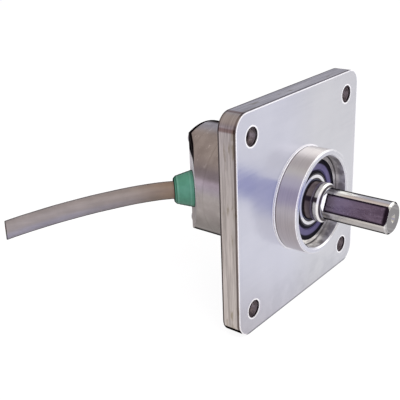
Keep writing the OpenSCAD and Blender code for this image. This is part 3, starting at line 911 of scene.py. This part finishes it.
def paint_plastics():
    """Rubber, plastic and glass of the CAD nodes."""
    paint(lip_seal("seal_rubber"), "front_bearing_front_seal", "front_bearing_rear_seal")
    paint(moulded("oring_rubber", (0.02, 0.02, 0.02), 0.5), "cover_oring")
    paint(moulded("bracket_plastic", (0.04, 0.04, 0.045), 0.4), "emitter_bracket")
    paint(moulded("led_epoxy", (0.55, 0.05, 0.04), 0.15, 900.0, 0.05), "led_emitter")
    paint(glass_plate("reticle_glass"), "reticle")
    paint(moulded("chip_plastic", (0.02, 0.02, 0.022), 0.5, 2500.0, 0.3), "detector_chip", "board_components")
    paint(moulded("board_mask", (0.02, 0.16, 0.07), 0.3, 900.0, 0.1, 0.25), "circuit_board")
    paint(moulded("connector_plastic", (0.72, 0.68, 0.58), 0.45), "wire_connector")
    paint(moulded("wire_insulation", (0.45, 0.10, 0.06), 0.35), "connector_wires")


def soften_edges(node, width, segments=2):
    """Small rounded edge breaks on a CAD node."""
    modifier = NODES[node].modifiers.new("edge_breaks", "BEVEL")
    modifier.width = width * MM
    modifier.segments = segments
    modifier.limit_method = "ANGLE"
    modifier.angle_limit = math.radians(35)
    modifier.harden_normals = False


# Cable and boot, in millimetres until their points are placed -------------------------------------

CORE_COLOURS = (
    (0.50, 0.03, 0.03),
    (0.02, 0.02, 0.022),
    (0.62, 0.60, 0.56),
    (0.05, 0.30, 0.10),
    (0.20, 0.09, 0.04),
)
CORE_CIRCLE = 1.15
CORE_R = 0.5
CONDUCTOR_R = 0.25
AROUND = 60
CUT_SLOPE = 0.24
CUT_REACH = 4.0


def turn_about(axis, degrees):
    return Matrix.Rotation(math.radians(degrees), 4, axis)


def outlet_frame():
    """Frame whose +Z leaves the cover square to its bevel."""
    along = turn_about("Y", -135)
    return Matrix.Translation(OUTLET) @ turn_about("X", 90) @ along @ turn_about("Z", BEND_TILT)


def bend_shift(radius, degrees):
    """Move from the start of a bend to a point on it."""
    angle = math.radians(degrees)
    return Matrix.Translation((radius * (1 - math.cos(angle)), 0, radius * math.sin(angle)))


def cable_frames(step=0.7):
    """(distance, frame) along the cable from inside the cover to the cut end."""
    base = outlet_frame()
    frames = []
    straight = CABLE_INNER + BOOT_LENGTH
    count = math.ceil(straight / step)
    for i in range(count):
        w = -CABLE_INNER + straight * i / count
        frames.append((w, base @ Matrix.Translation((0, 0, w))))
    base = base @ Matrix.Translation((0, 0, BOOT_LENGTH))
    distance = BOOT_LENGTH
    for (radius, angle), tilt in zip(BENDS, (0.0, BEND_2_TILT)):
        plane = turn_about("Z", tilt)
        count = math.ceil(math.radians(angle) * radius / step)
        last = radius == BENDS[-1][0]
        for i in range(count + last):
            part = angle * i / count
            turned = plane @ bend_shift(radius, part) @ turn_about("Y", part) @ plane.inverted()
            frames.append((distance + math.radians(part) * radius, base @ turned))
        base = base @ plane @ bend_shift(radius, angle) @ turn_about("Y", angle) @ plane.inverted()
        distance += math.radians(angle) * radius
    return cut_obliquely(frames)


def cut_obliquely(frames):
    """Leans the last few frames so that the cable's cut end is not quite square to it."""
    total = frames[-1][0]
    leaned = []
    for w, matrix in frames:
        amount = CUT_SLOPE * max(0.0, 1.0 - (total - w) / CUT_REACH)
        upward = matrix.to_3x3().inverted() @ Vector((0.0, 0.0, 1.0))
        lean = Matrix.Identity(4)
        lean[2][0] = -amount * upward.x
        lean[2][1] = -amount * upward.y
        leaned.append((w, matrix @ lean))
    return leaned


def skin(name, rings, closed):
    """Mesh through rings of equal length. Closed joins the last ring to the first, else the ends get caps."""
    mesh = bpy.data.meshes.new(name)
    build = bmesh.new()
    rows = [[build.verts.new(point) for point in ring] for ring in rings]
    count = len(rows[0])
    pairs = list(zip(rows, rows[1:]))
    if closed:
        pairs.append((rows[-1], rows[0]))
    for low, high in pairs:
        for i in range(count):
            j = (i + 1) % count
            build.faces.new((low[i], low[j], high[j], high[i]))
    if not closed:
        build.faces.new(list(reversed(rows[0])))
        build.faces.new(rows[-1])
    bmesh.ops.recalc_face_normals(build, faces=build.faces)
    for face in build.faces:
        face.smooth = True
    build.to_mesh(mesh)
    build.free()
    piece = bpy.data.objects.new(name, mesh)
    bpy.context.collection.objects.link(piece)
    return piece


def ring_points(matrix, radius_at, count=AROUND, centre=(0.0, 0.0), w=0.0):
    """Points round a frame, in metres. radius_at gives the radius in millimetres at an angle."""
    points = []
    for i in range(count):
        turn = 2 * math.pi * i / count
        radius = radius_at(turn)
        local = Vector((centre[0] + radius * math.cos(turn), centre[1] + radius * math.sin(turn), w))
        points.append(matrix @ local * MM)
    return points


def tube(name, frames, outer, inner, lip=0.0):
    """Closed tube along frames. outer gives a radius from angle and distance; lip rounds both ends."""
    rings = []
    for number, (w, matrix) in enumerate(frames):
        if number in (0, len(frames) - 1) and lip:
            inward = lip if number == 0 else -lip
            shifted = ring_points(matrix, lambda turn: outer(turn, w), w=inward)
            ended = ring_points(matrix, lambda turn: outer(turn, w) - lip)
            rings += [ended, shifted] if number == 0 else [shifted, ended]
        else:
            rings.append(ring_points(matrix, lambda turn: outer(turn, w)))
    rings += [ring_points(matrix, lambda turn: inner) for w, matrix in reversed(frames)]
    return skin(name, rings, True)


def mark_cut(piece, frame_count):
    """Vertex attribute that is 1 on the last rings before the cable's cut end, and 0 elsewhere."""
    cut = piece.data.attributes.new("cut", "FLOAT", "POINT")
    for number in range(frame_count * AROUND, (frame_count + 3) * AROUND):
        cut.data[number].value = 1.0


def jacket_radius(turn, w):
    """Outer radius of the jacket: the cores' lay shows as a very slight wave."""
    return CABLE_R - 0.012 * (1 - math.cos(len(CORE_COLOURS) * (turn - w / 9.0)))


def braid_radius(turn, w):
    """Outer radius of the braid: two crossing sets of wires."""
    return CABLE_R - 0.72 + 0.02 * math.cos(12 * turn + 2.2 * w) * math.cos(12 * turn - 2.2 * w)


def make_cable():
    """The jacket, the braid and five cores, each core with its stranded conductor."""
    frames = cable_frames()
    jacket = tube("jacket", frames, jacket_radius, CABLE_R - 0.7, 0.1)
    mark_cut(jacket, len(frames))
    finish_piece(jacket, "cable_jacket", jacket_pvc("jacket_pvc"))
    woven = tube("braid", cable_frames(0.35), braid_radius, CABLE_R - 0.9)
    finish_piece(woven, "cable_braid", turned_metal("braid_tin", (0.62, 0.60, 0.57), 0.3))
    copper = turned_metal("bare_copper", (0.80, 0.42, 0.25), 0.3)
    for number, colour in enumerate(CORE_COLOURS):
        turn = 2 * math.pi * number / len(CORE_COLOURS)
        centre = (-CORE_CIRCLE * math.cos(turn), CORE_CIRCLE * math.sin(turn))
        insulation = moulded("core_insulation_%d" % number, colour, 0.3, 1600.0, 0.1, 0.1)
        core = make_core("core_%d" % (number + 1), frames, centre)
        finish_piece(core, "cable_cores", insulation)
        wires = make_conductor("conductor_%d" % (number + 1), frames, centre)
        finish_piece(wires, "cable_cores", copper)


def make_core(name, frames, centre):
    """Insulation of one core, with a bore for its conductor."""
    bore = CONDUCTOR_R + 0.02
    rings = [ring_points(matrix, lambda turn: CORE_R, 24, centre) for w, matrix in frames]
    rings += [ring_points(matrix, lambda turn: bore, 24, centre) for w, matrix in reversed(frames)]
    return skin(name, rings, True)


def make_conductor(name, frames, centre):
    """Stranded conductor with six lobes."""
    def lobed(turn):
        return CONDUCTOR_R - 0.035 * (1 - abs(math.cos(3 * turn)))

    return skin(name, [ring_points(matrix, lobed, 36, centre) for w, matrix in frames], False)


def boot_profile():
    """(distance, radius) round the boot's section: bore, neck, root, ribbed cone and chamfered tip."""
    root, tip, wall, chamfer, bore = 5.9, 4.5, 1.6, 0.7, CABLE_R + 0.03
    neck, collar = 4.68, 5.4
    inside = -wall - 0.02
    profile = [(-2.7, bore), (-2.7, collar - 0.1), (-2.6, collar)]
    profile += [(inside, collar), (inside, neck), (0.0, neck)]
    profile += [(0.0, root - 0.12), (0.04, root - 0.04), (0.12, root), (0.45, root), (0.55, root - 0.03)]
    steps = 60
    start, stop = 0.6, BOOT_LENGTH - chamfer - 0.08
    for i in range(steps + 1):
        w = start + (stop - start) * i / steps
        radius = root + (tip - root) * (w - 0.5) / (BOOT_LENGTH - chamfer - 0.5)
        rib = 0.035 * (0.5 - 0.5 * math.cos(2 * math.pi * (w - start) / (stop - start) * 4))
        profile.append((w, radius - rib))
    end = BOOT_LENGTH
    face = tip - chamfer
    profile += [(end - chamfer, tip - 0.02), (end - chamfer + 0.06, tip - 0.09)]
    profile += [(end - 0.08, face + 0.05), (end - 0.02, face - 0.01), (end, face - 0.1)]
    profile += [(end, CABLE_R + 0.12), (end - 0.08, bore)]
    return profile


def make_boot():
    """The moulded boot, turned from its profile with fine mould lines along it."""
    base = outlet_frame()
    count = 96

    def section(w, radius):
        groove = 0.02 if 0.6 < w < 5.4 else 0.0
        return ring_points(base, lambda turn: radius - groove * (0.5 + 0.5 * math.cos(24 * turn)), count, w=w)

    boot = skin("boot", [section(w, radius) for w, radius in boot_profile()], True)
    finish_piece(boot, "cable_boot", boot_plastic("boot_plastic"))


def finish_piece(piece, node, material):
    """Paints a Blender piece and puts it in place of its CAD node, on the housing."""
    piece.data.materials.append(material)
    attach(piece, "housing")
    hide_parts(node)


# Stage --------------------------------------------------------------------------------------------

def view_direction():
    """Unit vector from the camera into the picture."""
    azimuth = math.radians(VIEW_AZIMUTH)
    elevation = math.radians(VIEW_ELEVATION)
    level = math.cos(elevation)
    return Vector((level * math.sin(azimuth), level * math.cos(azimuth), math.sin(elevation)))


def floor_glow(tree):
    """What the metals see of the floor: warm on the left, cool on the right, dark far behind the object."""
    x, y, z = position(tree)
    left = times(x, -1.0)
    front = times(y, -1.0)
    right = minus(times(x, 0.77), times(y, 0.64))
    glow = mix(smooth(right, -30, 30), (0.60, 0.56, 0.54), (0.81, 0.81, 0.85))
    glow = mix(smooth(left, 90, 250), glow, (0.54, 0.49, 0.60))
    front_left = times(smooth(front, 20, 50), smooth(left, 30, 60))
    glow = mix(front_left, glow, (0.80, 0.80, 0.82))
    behind = times(smooth(y, 92, 106), smooth(x, -135, -100))
    return mix(behind, glow, (0.01, 0.01, 0.012))


def floor():
    """White table top, lit from within so that it stays nearly shadowless."""
    mesh = bpy.data.meshes.new("floor")
    size = 3.0
    z = CAD_BOX[0].z - 0.4 * MM
    corners = [(-size, -size, z), (size, -size, z), (size, size, z), (-size, size, z)]
    mesh.from_pydata(corners, [], [(0, 1, 2, 3)])
    floor_object = bpy.data.objects.new("floor", mesh)
    bpy.context.collection.objects.link(floor_object)
    material, tree, shader = new_material("pale_floor")
    cloud = noise(coords(tree), 8.0, 3.0)
    tone = mix(span(cloud, 0.3, 0.7, 0, 1), (0.86, 0.86, 0.86), (0.90, 0.90, 0.90))
    feed(shader.inputs["Base Color"], tone)
    shader.inputs["Roughness"].default_value = 0.9
    shader.inputs["Specular IOR Level"].default_value = 0.0
    seen = mix_shaders(0.85, shader.outputs["BSDF"], emission(tree, WHITE, 1.08))
    mirrored = mix_shaders(0.75, shader.outputs["BSDF"], emission(tree, floor_glow(tree), 1.0))
    both = mix_shaders(camera_ray(tree), mirrored, seen)
    feed(tree.nodes["Material Output"].inputs["Surface"], both)
    mesh.materials.append(material)


def studio():
    """Soft studio that the metals mirror: bright above and in front, dim behind, lilac around the camera."""
    world = bpy.data.worlds.new("studio")
    world.use_nodes = True
    tree = world.node_tree
    tree.nodes.clear()
    output = tree.nodes.new("ShaderNodeOutputWorld")
    ray = tree.nodes.new("ShaderNodeTexCoord").outputs["Generated"]
    x, y, height = split(ray)

    def patch(tone, direction, start, full, colour):
        return mix(toward(ray, direction, start, full), tone, colour)

    tone = mix(smooth(height, 0.12, 0.25), (0.76, 0.66, 0.80), (0.36, 0.31, 0.31))
    tone = mix(smooth(height, 0.40, 0.62), tone, (0.56, 0.48, 0.46))
    tone = patch(tone, (0.15, 0.98, 0.15), 0.80, 0.97, (0.01, 0.01, 0.012))
    tone = patch(tone, (0.85, 0.45, 0.28), 0.75, 0.95, (0.52, 0.52, 0.62))
    front = times(y, -1.0)
    lit = times(smooth(front, -0.1, 0.5), smooth(height, 0.15, 0.6))
    tone = mix(lit, tone, (0.82, 0.80, 0.77))
    tone = patch(tone, (1.0, -0.35, 0.25), 0.65, 0.95, (0.85, 0.86, 0.90))
    tone = patch(tone, (0.74, -0.45, 0.50), 0.90, 0.98, (1.9, 1.9, 1.85))
    tone = patch(tone, (-0.84, 0.30, 0.42), 0.93, 0.99, (0.24, 0.19, 0.26))
    tone = patch(tone, -view_direction(), 0.70, 0.95, (0.60, 0.58, 0.81))
    background = tree.nodes.new("ShaderNodeBackground")
    feed(background.inputs["Color"], tone)
    white = tree.nodes.new("ShaderNodeBackground")
    white.inputs["Color"].default_value = (0.97, 0.97, 0.97, 1.0)
    both = mix_shaders(camera_ray(tree), background.outputs[0], white.outputs[0])
    feed(output.inputs["Surface"], both)
    bpy.context.scene.world = world


def area_light(name, place, target, size, power, colour):
    """Square fill light for the plastics. The metals mirror the studio itself, so they do not mirror this."""
    data = bpy.data.lights.new(name, "AREA")
    data.shape = "RECTANGLE"
    data.size = size
    data.size_y = size
    data.energy = power
    data.color = colour
    light = bpy.data.objects.new(name, data)
    light.location = place
    light.rotation_mode = "QUATERNION"
    light.rotation_quaternion = (Vector(target) - Vector(place)).to_track_quat("-Z", "Y")
    light.visible_glossy = False
    bpy.context.collection.objects.link(light)


def camera():
    """Camera at the viewing angle named at the top."""
    data = bpy.data.cameras.new("view")
    data.sensor_width = 36.0
    data.lens = VIEW_LENS
    data.clip_start = 0.01
    data.clip_end = 20.0
    roll = math.radians(VIEW_ROLL)
    forward = view_direction()
    level = forward.cross(Vector((0.0, 0.0, 1.0))).normalized()
    right = math.cos(roll) * level + math.sin(roll) * level.cross(forward)
    turn = Matrix((right, right.cross(forward), -forward)).transposed()
    place = (Vector(VIEW_POINT) - VIEW_DISTANCE * forward) * MM
    view = bpy.data.objects.new("view", data)
    view.matrix_world = Matrix.Translation(place) @ turn.to_4x4()
    bpy.context.collection.objects.link(view)
    bpy.context.scene.camera = view


paint_metals()
paint_plastics()
make_boot()
make_cable()
soften_edges("flange", 0.22)
soften_edges("cover", 0.7, 4)
floor()
studio()
area_light("key", (-0.25, -0.45, 0.60), (0, 0, 0), 0.5, 3.8, (1.0, 0.98, 0.95))
area_light("side", (-0.60, -0.10, 0.10), (-0.03, 0.03, 0), 0.4, 1.2, (0.95, 0.95, 1.0))
camera()
bpy.context.scene.view_settings.view_transform = "Standard"
